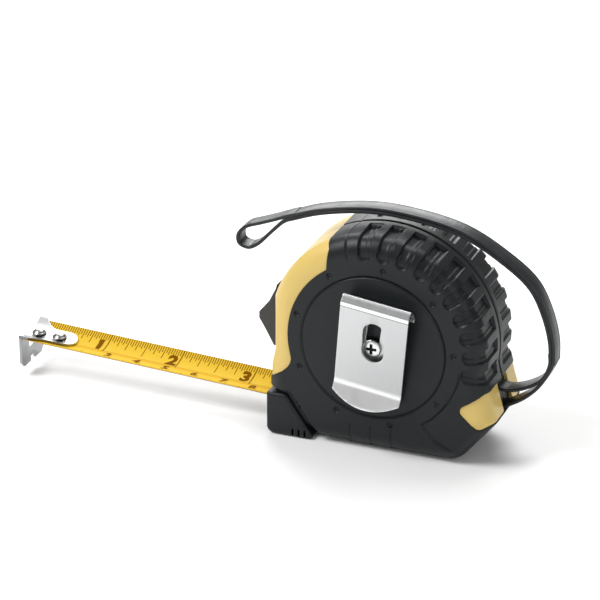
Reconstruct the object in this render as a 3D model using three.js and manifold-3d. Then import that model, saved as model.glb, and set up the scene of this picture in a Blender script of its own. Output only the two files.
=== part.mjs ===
// Pocket measuring tape: two moulded shells in a rubber overmould, a sprung reel with its coiled
// steel blade, a floating end hook, a thumb lock, a folded belt clip and a flat wrist strap.
// Frame: +X to the rear, the blade leaves towards -X, the belt clip is on -Y, +Z up.
// The origin is on the underside, below the reel axis, in the parting plane. Millimetres.
import * as THREE from 'three';
import { mergeVertices } from 'three/addons/utils/BufferGeometryUtils.js';
import Module from 'manifold-3d';

const wasm = await Module();
wasm.setup();

// Case
const caseWidth = 32;
const axisHeight = 35;
const crownRadius = 35.5;
const frontCut = 1.6;
const noseProud = 1.1;
const frontReach = crownRadius - frontCut;
const noseReach = frontReach + noseProud;
const noseTop = 18;
const noseStep = 3;
const frontChamfer = 5;
const bottomRear = 27;
const heelReach = 39.2;
const spineProud = 0.1;
const spineDrop = 7.5;
const spineReach = crownRadius + spineProud;
const spineHeight = axisHeight - spineDrop;
const spineEndShare = 1.012;
const postIn = 2.6;
const postDrop = 17.6;
const postX = spineReach - postIn;
const postZ = axisHeight - postDrop;
const postRadius = 2;
const heelDrop = 2.4;
const heelHeight = postZ - heelDrop;
const roundAcross = 5.5;
const roundIn = 6;
const rubberThickness = 2;
const shellWall = 2.2;
const shellRecess = 0.4;
const seatGap = 0.3;
const overrun = 2;
const beyond = 200;
const arcStep = 7;

// Tread of the rubber
const treadPockets = 10;
const treadPitch = 11.64;
const treadStart = 96;
const treadWidth = 3.9;
const treadInner = 28.6;
const treadDepth = 0.9;
const treadRib = 3;

// Side disc
const discRadius = 23.1;
const grooveWidth = 0.7;
const grooveDepth = 0.6;
const dimpleCount = 9;
const dimpleCircle = 25.8;
const dimplePhase = 3.26;
const dimpleRadius = 0.85;
const dimpleDepth = 0.6;
const badgeEdge = 28.1;

// Windows of the rubber, where the shell shows
const frontWindowFrom = 123.6;
const frontWindowTo = 204;
const frontWindowCrown = 117;
const frontWindowStep = 3.75;
const rearWindowLow = 18.8;
const rearWindowCut = 5;
const rearWindowDrop = 2.4;
const rearWindowCrown = 1;
const rearWindowInner = 1.6;

// Front foot block
const blockTop = 14;
const blockLength = 6.5;
const blockFoot = 14.5;
const blockRound = 1.2;
const blockGroove = 1.4;
const footNotchWidth = 0.6;
const footNotchHeight = 2.6;
const archHeight = 1.5;
const archLength = 9;
const blockSlope = 1.5;
const footNotchCount = 3;
const footNotchPitch = 2;

// Mouth
const mouthHalf = 9.2;
const mouthBottom = 5.2;
const mouthTop = 13;

// Reel
const reelHalf = 9.4;
const flangeThickness = 1;
const flangeRadius = 24.6;
const drumRadius = 16;
const drumWall = 1.4;
const axleRadius = 3.2;
const runGap = 0.3;

// Blade
const bladeWidth = 16;
const bladeThickness = 0.3;
const bladeSagitta = 2.1;
const bladeOut = 89;
const bladeTilt = 2.3;
const bladeMouthHeight = 7.6;
const bladeStrips = 8;
const coilTurns = 8;
const coilPitch = 0.85;
const coilSteps = 22;
const coilSeat = 0.5;
const coilEnd = 250;
const leadBack = 8;
const leadShares = [1, 0.8, 0.6, 0.4, 0.2, 0];
const outsideShares = [0, 0.35, 0.7, 0.93];

// Mainspring
const springThickness = 0.5;
const springWidth = 12;
const springTurns = 5;
const springInner = 5.4;
const springPitch = 1.6;
const springSteps = 16;
const springEnd = 20;

// End hook
const hookThickness = 1;
const hookDrop = 7;
const hookNotchWidth = 3;
const hookNotchHeight = 1.6;
const hookWindowWidth = 5;
const hookWindowHeight = 2;
const hookChamfer = 1.8;
const tongueLength = 16.5;
const tongueShoulder = 3;
const tongueHalf = 4.2;
const tongueLift = 0.1;
const tongueSheetShare = 0.8;
const tongueNarrowingShare = 2.6;
const tongueTipShare = 0.26;
const tongueEndShare = 0.3;
const tongueShares = [0, 0.09, 0.18, 0.25, 0.34, 0.46, 0.6, 0.78, 0.86, 0.93, 0.98, 1];
const hookFloat = 1;
const rivetFirst = 4;
const rivetSpacing = 7.2;
const rivetShank = 1.1;
const rivetHead = 2.1;
const rivetHeight = 1.4;
const rivetCollar = 0.6;
const rivetDomeShare = [[0.8, 0.75], [0.45, 1], [0, 1]];

// Thumb lock
const lockWidth = 14;
const lockBottom = 26.2;
const lockTop = 46.6;
const lockProud = 6;
const lockTravel = 5;
const lockStemHalf = 2.6;
const lockStemHeight = 5;
const lockPlateHalf = 5;
const lockPlateThickness = 1.6;
const lockPadHalf = 6.8;
const lockPadBottom = 14.55;
const lockRise = 1;
const lockWedgeShare = [[0.18, 1.767], [0.5, 0.767], [1, 0.233], [1, -0.3], [0.42, -1]];
const lockStandoff = 0.9;

// Belt clip
const clipWidth = 21.8;
const clipSheet = 0.8;
const clipTurn = 7.5;
const clipShift = 1;
const clipProud = 7;
const clipTop = 19.3;
const clipBand = 3.4;
const clipBend = 12.9;
const clipLip = 6.2;
const clipLegDrop = 9;
const clipFold = 2;
const clipFoldRise = 1.6;
const clipFoldIn = 1.2;
const clipTopSlope = 1.6;
const clipHeelGap = 1.2;
const clipLipGap = 3.6;
const clipLipRound = 3.6;
const clipHoleWidth = 7.1;
const clipHoleHeight = 13;
const clipHoleRise = 4;
const clipSlotWidth = 4.4;
const clipSlotTallShare = 1.3;
const clipSlotRiseShare = 0.8;
const clipScrewHead = 2.65;
const clipScrewHeight = 1.6;
const clipScrewShank = 1.4;

// Case screws
const screwAngles = [100, 25, 215, -35];
const screwCircle = 27.8;
const bossRadius = 2.4;
const screwShank = 1.1;
const screwHead = 2.5;
const screwHeadHeight = 1.3;
const screwReach = 6;
const crossLongShare = 0.55;
const crossShortShare = 0.14;
const headSides = 20;
const shankSides = 12;

// Strap
const strapWidth = 6;
const strapPly = 1.1;
const strapSide = 0.6;
const strapSlotHalf = 4.4;
const strapSlotIn = 5.2;
const strapSlotDown = 6.6;
const strapSlotUp = 8.2;
const strapBendFrom = 110;
const strapBendTurn = 140;
const strapBendSteps = 6;
const strapEase = 0.6;
// hand-chosen places of the strap, as shares of the crown's radius measured from the reel axis
const strapArchShare = [
  [1.478, -0.075], [1.465, 0.121], [1.395, 0.36], [1.254, 0.585], [0.969, 0.8], [0.6225, 0.975],
  [0.155, 1.062], [-0.206, 1.068], [-0.645, 0.99], [-0.93, 0.895],
];
const strapLoopShare = [
  [-0.985, 0.85], [-1.10, 0.735], [-1.22, 0.615], [-1.307, 0.572], [-1.385, 0.60], [-1.39, 0.665],
  [-1.31, 0.735], [-1.18, 0.785], [-1.05, 0.84],
];
const strapRootShare = [
  [1.40, -0.225], [1.27, -0.325], [1.10, -0.385], [0.985, -0.37],
];
const strapTailShare = [
  [0.985, -0.575], [1.10, -0.50], [1.245, -0.405], [1.37, -0.285],
];

const half = caseWidth / 2;
const rad = Math.PI / 180;
const at = (radius, degrees) => [radius * Math.cos(degrees * rad), radius * Math.sin(degrees * rad)];
const aboutAxis = (radius, degrees) => {
  const [x, z] = at(radius, degrees);
  return new THREE.Vector2(x, axisHeight + z);
};
const v2 = (x, z) => new THREE.Vector2(x, z);

function arcPoints(radius, from, to, step = arcStep) {
  const count = Math.max(2, Math.ceil(Math.abs(to - from) / step));
  return Array.from({ length: count + 1 }, (_, i) => aboutAxis(radius, from + ((to - from) * i) / count));
}

// moves every edge of a closed outline inwards by the same distance
function inset(points, distance) {
  return points.map((p, i) => {
    const before = points[(i + points.length - 1) % points.length];
    const after = points[(i + 1) % points.length];
    const a = p.clone().sub(before).normalize();
    const b = after.clone().sub(p).normalize();
    const na = v2(-a.y, a.x);
    const nb = v2(-b.y, b.x);
    return na.add(nb).multiplyScalar(distance / (1 + v2(-a.y, a.x).dot(nb))).add(p);
  });
}

function solid(geometry) {
  const g = geometry.clone();
  g.deleteAttribute('normal');
  g.deleteAttribute('uv');
  const merged = mergeVertices(g, 1e-5);
  return new wasm.Manifold(new wasm.Mesh({
    numProp: 3,
    vertProperties: new Float32Array(merged.attributes.position.array),
    triVerts: new Uint32Array(merged.index.array),
  }));
}

function geometryOf(body) {
  const m = body.getMesh();
  const g = new THREE.BufferGeometry();
  g.setAttribute('position', new THREE.BufferAttribute(new Float32Array(m.vertProperties), 3));
  g.setIndex(new THREE.BufferAttribute(new Uint32Array(m.triVerts), 1));
  g.computeVertexNormals();
  return g;
}

const shapeOf = (points) => new THREE.Shape(points);

// a side outline (x, z) pulled across the case between two y places
function across(shape, yLow, yHigh, curveSegments = 8) {
  const g = new THREE.ExtrudeGeometry(shape, { depth: yHigh - yLow, bevelEnabled: false, curveSegments });
  g.rotateX(Math.PI / 2);
  g.translate(0, yHigh, 0);
  return solid(g);
}

// the same with rounded edges on both sides
function roundedSlab(points, halfWidth, acrossRound, inRound, segments = 3) {
  const g = new THREE.ExtrudeGeometry(shapeOf(points), {
    depth: (halfWidth - acrossRound) * 2,
    bevelEnabled: true,
    bevelThickness: acrossRound,
    bevelSize: inRound,
    bevelOffset: -inRound,
    bevelSegments: segments,
  });
  g.rotateX(Math.PI / 2);
  g.translate(0, halfWidth - acrossRound, 0);
  return solid(g);
}

function box(xLow, xHigh, yLow, yHigh, zLow, zHigh) {
  const g = new THREE.BoxGeometry(xHigh - xLow, yHigh - yLow, zHigh - zLow);
  g.translate((xLow + xHigh) / 2, (yLow + yHigh) / 2, (zLow + zHigh) / 2);
  return solid(g);
}

function rod(x, z, radius, yLow, yHigh, sides = 20) {
  const g = new THREE.CylinderGeometry(radius, radius, yHigh - yLow, sides);
  g.translate(x, (yLow + yHigh) / 2, z);
  return solid(g);
}

// a closed (radius, y) profile turned about the reel axis
function turned(profile, sides = 40) {
  const closed = [...profile, profile[0]].map(([r, y]) => v2(r, y));
  const g = new THREE.LatheGeometry(closed, sides);
  g.translate(0, 0, axisHeight);
  const body = solid(g);
  return body.volume() < 0 ? solid(flip(g)) : body;
}

function flip(g) {
  const index = Array.from(g.index.array);
  for (let i = 0; i < index.length; i += 3) [index[i], index[i + 1]] = [index[i + 1], index[i]];
  g.setIndex(index);
  return g;
}

// a closed skin through rings of points that all have the same count
function skin(rings) {
  const n = rings[0].length;
  const position = rings.flat(2);
  const index = [];
  for (let i = 0; i < rings.length - 1; i++) {
    for (let j = 0; j < n; j++) {
      const a = i * n + j;
      const b = i * n + ((j + 1) % n);
      index.push(a, b, a + n, b, b + n, a + n);
    }
  }
  const last = (rings.length - 1) * n;
  for (let j = 1; j < n / 2; j++) {
    index.push(j - 1, n - j, j, j, n - j, n - j - 1);
    index.push(last + j - 1, last + j, last + n - j, last + j, last + n - j - 1, last + n - j);
  }
  const g = new THREE.BufferGeometry();
  g.setAttribute('position', new THREE.Float32BufferAttribute(position, 3));
  g.setIndex(index.filter((_, k) => {
    const t = k - (k % 3);
    return index[t] !== index[t + 1] && index[t + 1] !== index[t + 2] && index[t] !== index[t + 2];
  }));
  const body = solid(g);
  return body.volume() < 0 ? solid(flip(g)) : body;
}

const nearSide = (body) => body.intersect(box(-beyond, beyond, -beyond, -seatGap / 2, -beyond, beyond));
const farSide = (body) => body.intersect(box(-beyond, beyond, seatGap / 2, beyond, -beyond, beyond));
const mirrored = (body) => body.add(body.mirror([0, 1, 0]));

// Outline of the rubber case in side view
const frontAngle = 180 - Math.acos(frontReach / crownRadius) / rad;
const rearAngle = -Math.acos(Math.min(1, spineReach / crownRadius / spineEndShare)) / rad;
const caseOutline = [
  ...arcPoints(crownRadius, rearAngle, frontAngle),
  v2(-frontReach, noseTop + noseStep),
  v2(-noseReach, noseTop),
  v2(-noseReach, frontChamfer),
  v2(-noseReach + frontChamfer, 0),
  v2(bottomRear, 0),
  v2(heelReach, heelHeight),
  v2(spineReach, spineHeight),
];

const slabAt = (depth) => roundedSlab(
  inset(caseOutline, depth), half - depth, roundAcross - depth, roundIn - depth,
);

// the side areas where the yellow shell shows through the rubber
const frontWindow = [
  ...arcPoints(badgeEdge, frontWindowFrom, frontWindowTo),
  v2(-noseReach + frontWindowStep, noseTop + noseStep),
  v2(-noseReach - overrun, noseTop),
  v2(-noseReach - overrun, axisHeight + crownRadius),
  aboutAxis(crownRadius + 3 * overrun, frontWindowCrown),
  aboutAxis(crownRadius - rubberThickness, frontWindowCrown),
].reverse();
const rearWindow = [
  v2(bottomRear + seatGap, rearWindowLow),
  v2(heelReach - rearWindowCut, heelHeight - rearWindowDrop),
  v2(heelReach, heelHeight + seatGap),
  v2(heelReach + 3 * overrun, heelHeight + seatGap),
  v2(heelReach + 3 * overrun, spineHeight - rearWindowCrown),
  v2(spineReach, spineHeight - rearWindowInner),
];

// Rubber grips with their tread, side disc and front foot
function pocketShape() {
  const w = treadWidth / 2;
  const s = new THREE.Shape();
  s.moveTo(treadInner + w, w);
  s.absarc(treadInner + w, 0, w, Math.PI / 2, (3 * Math.PI) / 2, false);
  s.lineTo(crownRadius + overrun, -w);
  s.lineTo(crownRadius + overrun, w);
  return s;
}

function treadCutters() {
  return Array.from({ length: treadPockets }, (_, i) => {
    const g = new THREE.ExtrudeGeometry(pocketShape(), {
      depth: half, bevelEnabled: false, curveSegments: 4,
    });
    g.rotateX(Math.PI / 2);
    g.rotateY(-(treadStart - i * treadPitch) * rad);
    g.translate(0, -treadRib, axisHeight);
    return solid(g);
  }).reduce((a, b) => a.add(b));
}

const blockPoints = [
  v2(-noseReach, blockRound),
  v2(-noseReach + blockRound, 0),
  v2(-noseReach + blockFoot, 0),
  v2(-noseReach + blockFoot + blockSlope, blockRound),
  v2(-noseReach + blockLength, blockTop),
  v2(-noseReach, blockTop),
];

function footBlock() {
  const notches = Array.from({ length: footNotchCount }, (_, i) => {
    const x = -noseReach + blockFoot - (i + 1) * footNotchPitch;
    return box(x, x + footNotchWidth, -half - overrun, -half + roundAcross, -overrun, footNotchHeight);
  });
  const body = roundedSlab(blockPoints, half, blockRound, blockRound, 2);
  return body.subtract(mirrored(notches.reduce((a, b) => a.add(b))));
}

function grooveAroundBlock() {
  const path = [
    v2(-noseReach - overrun, blockTop), v2(-noseReach + blockLength, blockTop),
    v2(-noseReach + blockFoot + blockSlope, blockRound), v2(-noseReach + blockFoot + blockSlope, -overrun),
  ];
  const outer = path.map((p, i) => p.clone().add(v2(i ? blockGroove : 0, i < 2 ? blockGroove : 0)));
  const ring = across(shapeOf([...path, ...outer.reverse()]), -half - overrun, -half + grooveDepth * 4);
  return mirrored(ring);
}

function grip() {
  const discGroove = turned([
    [discRadius - grooveWidth / 2, -half - overrun], [discRadius + grooveWidth / 2, -half - overrun],
    [discRadius + grooveWidth / 2, -half + grooveDepth], [discRadius - grooveWidth / 2, -half + grooveDepth],
  ]);
  const dimples = Array.from({ length: dimpleCount }, (_, i) => {
    const [x, z] = at(dimpleCircle, dimplePhase + (i * 360) / dimpleCount);
    return rod(x, axisHeight + z, dimpleRadius, -half - overrun, -half + dimpleDepth, 8);
  }).reduce((a, b) => a.add(b));
  const arch = across(shapeOf([
    v2(-noseReach + blockFoot + blockSlope, -overrun),
    v2(-noseReach + blockFoot + blockSlope + archLength + overrun, -overrun),
    v2(-noseReach + blockFoot + blockSlope + archLength - overrun, archHeight),
    v2(-noseReach + blockFoot + blockSlope, archHeight),
  ]), -half - overrun, half + overrun);
  const frontPad = across(shapeOf(blockPoints), -half - overrun, half + overrun);
  return slabAt(0)
    .subtract(mirrored(treadCutters()))
    .add(slabAt(treadDepth))
    .subtract(mirrored(discGroove.add(dimples)))
    .subtract(arch)
    .subtract(grooveAroundBlock())
    .subtract(frontPad)
    .add(footBlock())
    .subtract(slabAt(rubberThickness - seatGap))
    .subtract(across(shapeOf(frontWindow), -half - overrun, half + overrun))
    .subtract(across(shapeOf(rearWindow), -half - overrun, half + overrun))
    .subtract(box(-noseReach - overrun, 0, -mouthHalf, mouthHalf, mouthBottom, mouthTop));
}

const screwPlaces = screwAngles.map((degrees) => at(screwCircle, degrees));
const grips = grip();
const screwWells = screwPlaces
  .map(([x, z]) => rod(x, axisHeight + z, screwHead + 2 * seatGap, half / 2, half + overrun, 16))
  .reduce((a, b) => a.add(b));
const gripClipSide = nearSide(grips)
  .subtract(rod(0, axisHeight, clipScrewShank + 2 * seatGap, -half - overrun, 0));
const gripFarSide = farSide(grips).subtract(screwWells);

// Moulded shells
const cavityHalf = half - rubberThickness - shellWall;
const cavityDepth = rubberThickness + shellWall;
const lockSlotBottom = axisHeight + lockRise - lockStemHeight / 2 - lockTravel - seatGap;
const lockSlotTop = axisHeight + lockRise + lockStemHeight / 2 + seatGap;

function shellBody() {
  const windows = across(shapeOf(inset(frontWindow, seatGap)), -half, half)
    .add(across(shapeOf(inset(rearWindow, seatGap)), -half, half));
  const cavity = across(shapeOf(inset(caseOutline, cavityDepth)), -cavityHalf, cavityHalf)
    .intersect(box(-noseReach, bottomRear - seatGap, -half, half, 0, axisHeight * 3));
  const strapSlot = box(postX - strapSlotIn, heelReach + overrun, -strapSlotHalf, strapSlotHalf,
    postZ - strapSlotDown, postZ + strapSlotUp)
    .subtract(rod(postX, postZ, postRadius, -half, half));
  const bosses = screwPlaces
    .map(([x, z]) => rod(x, axisHeight + z, bossRadius, -cavityHalf - shellWall / 2, cavityHalf + shellWall / 2, 16))
    .reduce((a, b) => a.add(b));
  return slabAt(rubberThickness)
    .add(slabAt(shellRecess).intersect(windows))
    .subtract(cavity)
    .subtract(strapSlot)
    .add(bosses)
    .subtract(box(-noseReach - overrun, -noseReach + cavityDepth + overrun,
      -mouthHalf, mouthHalf, mouthBottom, mouthTop))
    .subtract(box(-noseReach - overrun, -frontReach + cavityDepth + overrun,
      -lockStemHalf - seatGap, lockStemHalf + seatGap, lockSlotBottom, lockSlotTop));
}

const shells = shellBody();
const screwBores = screwPlaces
  .map(([x, z]) => rod(x, axisHeight + z, screwShank + seatGap, -screwReach - overrun, half, 12))
  .reduce((a, b) => a.add(b));
const shellClipSide = nearSide(shells)
  .subtract(rod(0, axisHeight, clipScrewShank + seatGap, -half, 0))
  .subtract(screwBores);
const shellFarSide = farSide(shells).subtract(screwBores);

// Axle post, reel, mainspring and coil
const coilInner = drumRadius + coilSeat;
const coilOuter = coilInner + coilTurns * coilPitch;
const axleHalf = cavityHalf - seatGap;
const axlePost = rod(0, axisHeight, axleRadius, -axleHalf, axleHalf, 24)
  .subtract(rod(0, axisHeight, clipScrewShank + seatGap, -axleHalf - overrun, -axleHalf + screwReach, 12));
const bore = axleRadius + runGap;
const reelDrum = turned([
  [bore, -reelHalf], [flangeRadius, -reelHalf], [flangeRadius, -reelHalf + flangeThickness],
  [drumRadius, -reelHalf + flangeThickness], [drumRadius, reelHalf - flangeThickness - seatGap],
  [drumRadius - drumWall, reelHalf - flangeThickness - seatGap],
  [drumRadius - drumWall, -reelHalf + flangeThickness], [bore, -reelHalf + flangeThickness],
]);
const reelCap = turned([
  [bore, reelHalf - flangeThickness], [flangeRadius, reelHalf - flangeThickness],
  [flangeRadius, reelHalf], [bore, reelHalf],
]);

// a flat strip wound about the reel axis, its rings cut square to the winding
function windingRings(inner, pitch, turns, steps, thickness, halfWidth, endAngle) {
  return Array.from({ length: turns * steps + 1 }, (_, i) => {
    const turn = i / steps;
    const degrees = endAngle + (turn - turns) * 360;
    const ring = (offset, y) => {
      const [x, z] = at(inner + pitch * turn + offset, degrees);
      return [x, y, axisHeight + z];
    };
    return [ring(0, -halfWidth), ring(thickness, -halfWidth), ring(thickness, halfWidth), ring(0, halfWidth)];
  });
}
const coilRings = windingRings(
  coilInner, coilPitch, coilTurns, coilSteps, bladeThickness, bladeWidth / 2, coilEnd,
);
const springRings = windingRings(
  springInner, springPitch, springTurns, springSteps, springThickness, springWidth / 2, springEnd,
);
const bladeCoil = skin(coilRings);
const mainspring = skin(springRings);

// least distance from a turn's outer points to the next turn's inner points
function turnGap(rings, steps) {
  const apart = (a, b) => Math.hypot(a[0] - b[0], a[2] - b[2]);
  return rings.slice(0, -steps - 1).reduce((least, ring, i) => Math.min(
    least, ...[-1, 0, 1].map((shift) => apart(ring[1], rings[i + steps + shift][0])),
  ), Infinity);
}
console.log('least gap between turns: blade coil', turnGap(coilRings, coilSteps).toFixed(2),
  'mm, mainspring', turnGap(springRings, springSteps).toFixed(2), 'mm');

// Blade: concave strip outside, flattening where it winds on to the coil
const tiltCos = Math.cos(bladeTilt * rad);
const tiltSin = Math.sin(bladeTilt * rad);
const hookX = -noseReach - bladeOut;
const bladeZ = (x) => bladeMouthHeight + (-noseReach - x) * (tiltSin / tiltCos);

function bladeRing(x, z, curl, lift = 0, thickness = bladeThickness, halfWidth = bladeWidth / 2) {
  const lower = [];
  const upper = [];
  for (let i = 0; i <= bladeStrips; i++) {
    const y = halfWidth * ((2 * i) / bladeStrips - 1);
    const rise = bladeSagitta * curl * (y / (bladeWidth / 2)) ** 2;
    lower.push([x, y, z + lift + rise]);
    upper.push([x, y, z + lift + rise + thickness]);
  }
  return [...lower, ...upper.reverse()];
}

const bladeInside = noseReach - leadBack;
const leadRings = leadShares.map((share) => {
  const x = -bladeInside * share;
  const flat = axisHeight - coilOuter - 3 * bladeThickness - seatGap;
  const blend = share * share * (3 - 2 * share);
  return bladeRing(x, flat + (bladeZ(x) - flat) * blend, blend);
});
const bladeEnd = hookX + hookThickness + seatGap;
const blade = skin([
  ...outsideShares.map((share) => {
    const x = bladeEnd + (-bladeInside - bladeEnd) * share;
    return bladeRing(x, bladeZ(x), 1);
  }),
  ...leadRings,
]);

// End hook: one piece of sheet, a plate down in front and a tongue on the blade
const hookLift = bladeThickness + tongueLift;
function tongueHalfAt(share) {
  const straight = tongueShoulder / tongueLength;
  if (share <= straight) return bladeWidth / 2;
  const along = (share - straight) / (1 - straight);
  const taper = tongueHalf + (bladeWidth / 2 - tongueHalf) * Math.max(0, 1 - along * tongueNarrowingShare) ** 2;
  const tip = Math.sqrt(Math.max(0, 1 - Math.max(0, 1 - (1 - along) / tongueTipShare) ** 2));
  return Math.max(taper * tip, tongueHalf * tongueEndShare);
}
function endHook() {
  const tongue = skin(tongueShares.map((share) => {
    const x = hookX + tongueLength * share;
    return bladeRing(x, bladeZ(x), 1, hookLift, hookThickness * tongueSheetShare, tongueHalfAt(share));
  }));
  const plateTop = bladeZ(hookX);
  const w = bladeWidth / 2;
  const outline = new THREE.Shape();
  outline.moveTo(-w, plateTop + bladeSagitta + hookLift);
  outline.lineTo(-w, plateTop - hookDrop + hookChamfer);
  outline.lineTo(-w + hookChamfer, plateTop - hookDrop);
  outline.lineTo(-hookNotchWidth / 2, plateTop - hookDrop);
  outline.lineTo(-hookNotchWidth / 2, plateTop - hookDrop + hookNotchHeight);
  outline.lineTo(hookNotchWidth / 2, plateTop - hookDrop + hookNotchHeight);
  outline.lineTo(hookNotchWidth / 2, plateTop - hookDrop);
  outline.lineTo(w - hookChamfer, plateTop - hookDrop);
  outline.lineTo(w, plateTop - hookDrop + hookChamfer);
  outline.lineTo(w, plateTop + bladeSagitta + hookLift);
  for (let i = 1; i < bladeStrips; i++) {
    const y = w * (1 - (2 * i) / bladeStrips);
    outline.lineTo(y, plateTop + hookLift + hookThickness / 2 + bladeSagitta * (y / w) ** 2);
  }
  const g = new THREE.ExtrudeGeometry(outline, { depth: hookThickness, bevelEnabled: false });
  g.rotateX(Math.PI / 2);
  g.rotateZ(Math.PI / 2);
  g.translate(hookX, 0, 0);
  const window = box(hookX - overrun, hookX + overrun * 2, -hookWindowWidth / 2, hookWindowWidth / 2,
    plateTop - hookThickness - hookWindowHeight, plateTop - hookThickness);
  const slots = [rivetFirst, rivetFirst + rivetSpacing].map((x) => box(
    hookX + x - rivetShank - seatGap - hookFloat / 2, hookX + x + rivetShank + seatGap + hookFloat / 2,
    -rivetShank - seatGap, rivetShank + seatGap, plateTop - overrun * 2, plateTop + overrun * 2,
  ).subtract(box(hookX - overrun, hookX + hookThickness, -w, w, 0, axisHeight)));
  return solid(g).subtract(window).add(tongue).subtract(slots[0]).subtract(slots[1]);
}

// a domed head on a collar, its shank seated on the blade between the tongue's slot walls
function rivet(place) {
  const x = hookX + place - hookFloat / 2;
  const base = bladeZ(x) + bladeThickness + seatGap / 2;
  const collarTop = base + hookThickness + hookLift + seatGap;
  const profile = [
    [0, base], [rivetShank, base], [rivetShank, collarTop], [rivetHead, collarTop],
    [rivetHead, collarTop + rivetCollar],
    ...rivetDomeShare.map(([across, up]) => [rivetHead * across, collarTop + rivetHeight * up]),
  ].map(([r, z]) => v2(r, z));
  const g = new THREE.LatheGeometry(profile, 18);
  g.rotateX(Math.PI / 2);
  g.translate(x, 0, 0);
  const body = solid(g);
  return body.volume() < 0 ? solid(flip(g)) : body;
}

// Thumb lock: a ridged wedge outside, a stem through the shell, and a pad that bears on the blade's edges
const lockMiddle = axisHeight + lockRise;
function thumbLock() {
  const back = -frontReach - lockStandoff;
  const wedge = shapeOf([
    v2(back, lockBottom), v2(back, lockTop),
    ...lockWedgeShare.map(([out, up]) => v2(back - lockProud * out, lockMiddle + lockProud * up)),
  ]);
  const button = across(wedge, -lockWidth / 2, lockWidth / 2);
  const padFront = -frontReach + cavityDepth + seatGap;
  const padBack = padFront + lockPlateThickness;
  const stem = box(back - lockStandoff, padBack, -lockStemHalf, lockStemHalf,
    lockMiddle - lockStemHeight / 2, lockMiddle + lockStemHeight / 2);
  const pad = box(padFront, padBack, -lockPadHalf, lockPadHalf, lockPadBottom, lockMiddle);
  const collar = box(padFront, padBack, -lockPlateHalf, lockPlateHalf,
    lockMiddle - lockStemHeight, lockMiddle + lockStemHeight);
  return button.add(stem).add(pad).add(collar);
}

// Belt clip: one strip folded over at the top, drawn in (across, up) and pulled to its width
function beltClip() {
  const face = -half - seatGap;
  const section = new THREE.Shape();
  const out = (d) => face - d;
  const points = [
    [0, -clipLegDrop], [0, clipTop - clipFold], [clipFoldIn, clipTop - clipFold + clipFoldRise],
    [clipProud - clipTopSlope, clipTop], [clipProud, clipTop - clipBand],
    [clipSheet + clipHeelGap, -clipBend], [clipSheet + clipLipGap, -clipBend - clipLip],
  ];
  const inner = points.map((p, i) => {
    const a = points[Math.max(0, i - 1)];
    const b = points[Math.min(points.length - 1, i + 1)];
    const d = Math.hypot(b[0] - a[0], b[1] - a[1]);
    return [p[0] + ((b[1] - a[1]) / d) * clipSheet, p[1] - ((b[0] - a[0]) / d) * clipSheet];
  });
  [...points, ...inner.reverse()].forEach(([d, up], i) => {
    if (i) section.lineTo(out(d), up);
    else section.moveTo(out(d), up);
  });
  const g = new THREE.ExtrudeGeometry(section, { depth: clipWidth, bevelEnabled: false });
  g.rotateX(Math.PI / 2);
  g.rotateZ(Math.PI / 2);
  g.translate(-clipWidth / 2, 0, 0);
  let body = solid(g);
  const w = clipHoleWidth / 2;
  const stadium = (halfWide, halfTall, rise) => {
    const s = new THREE.Shape();
    s.absarc(0, rise + halfTall - halfWide, halfWide, 0, Math.PI, false);
    s.absarc(0, rise - halfTall + halfWide, halfWide, Math.PI, 2 * Math.PI, false);
    return s;
  };
  const hole = across(stadium(w, clipHoleHeight / 2, clipHoleRise), face - 3 * clipProud,
    face - clipSheet - seatGap);
  const slot = across(stadium(clipSlotWidth / 2, clipSlotWidth * clipSlotTallShare,
    clipSlotWidth * clipSlotRiseShare), face - clipSheet - seatGap, face + overrun)
    .translate([-clipShift, 0, 0]);
  const lipTrim = across(shapeOf([
    ...Array.from({ length: 9 }, (_, i) => {
      const y = (clipWidth / 2 + seatGap) * (1 - i / 4);
      return v2(y, -clipBend - clipLip + clipLipRound * (y / (clipWidth / 2)) ** 2);
    }),
    v2(-clipWidth, -clipTop * 2), v2(clipWidth, -clipTop * 2),
  ].reverse()), face - 3 * clipProud, face + overrun);
  body = body.subtract(hole).subtract(slot).subtract(lipTrim);
  return body.translate([clipShift, 0, 0]).rotate([0, clipTurn, 0]).translate([0, 0, axisHeight]);
}

// a cross-head screw whose head stands outward of y
function screw(x, z, y, outward, headRadius, headHeight, shank, reach) {
  const span = (a, b) => [Math.min(a, b), Math.max(a, b)];
  const top = y + outward * headHeight;
  const recess = span(top - (outward * headHeight) / 2, top + outward * overrun);
  const long = headRadius * crossLongShare;
  const short = headRadius * crossShortShare;
  return rod(x, z, headRadius, ...span(y, top), headSides)
    .add(rod(x, z, shank, ...span(y + (outward * headHeight) / 2, y - outward * reach), shankSides))
    .subtract(box(x - long, x + long, ...recess, z - short, z + short))
    .subtract(box(x - short, x + short, ...recess, z - long, z + long));
}

// Wrist strap: side outline of the doubled arch, the end loop and the root round its post
const place = ([x, z]) => v2(x * crownRadius, axisHeight + z * crownRadius);

function offsetSide(points, distance) {
  return points.map((p, i) => {
    const a = points[Math.max(0, i - 1)];
    const b = points[Math.min(points.length - 1, i + 1)];
    const t = b.clone().sub(a).normalize();
    return v2(p.x - t.y * distance, p.y + t.x * distance);
  });
}

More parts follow.
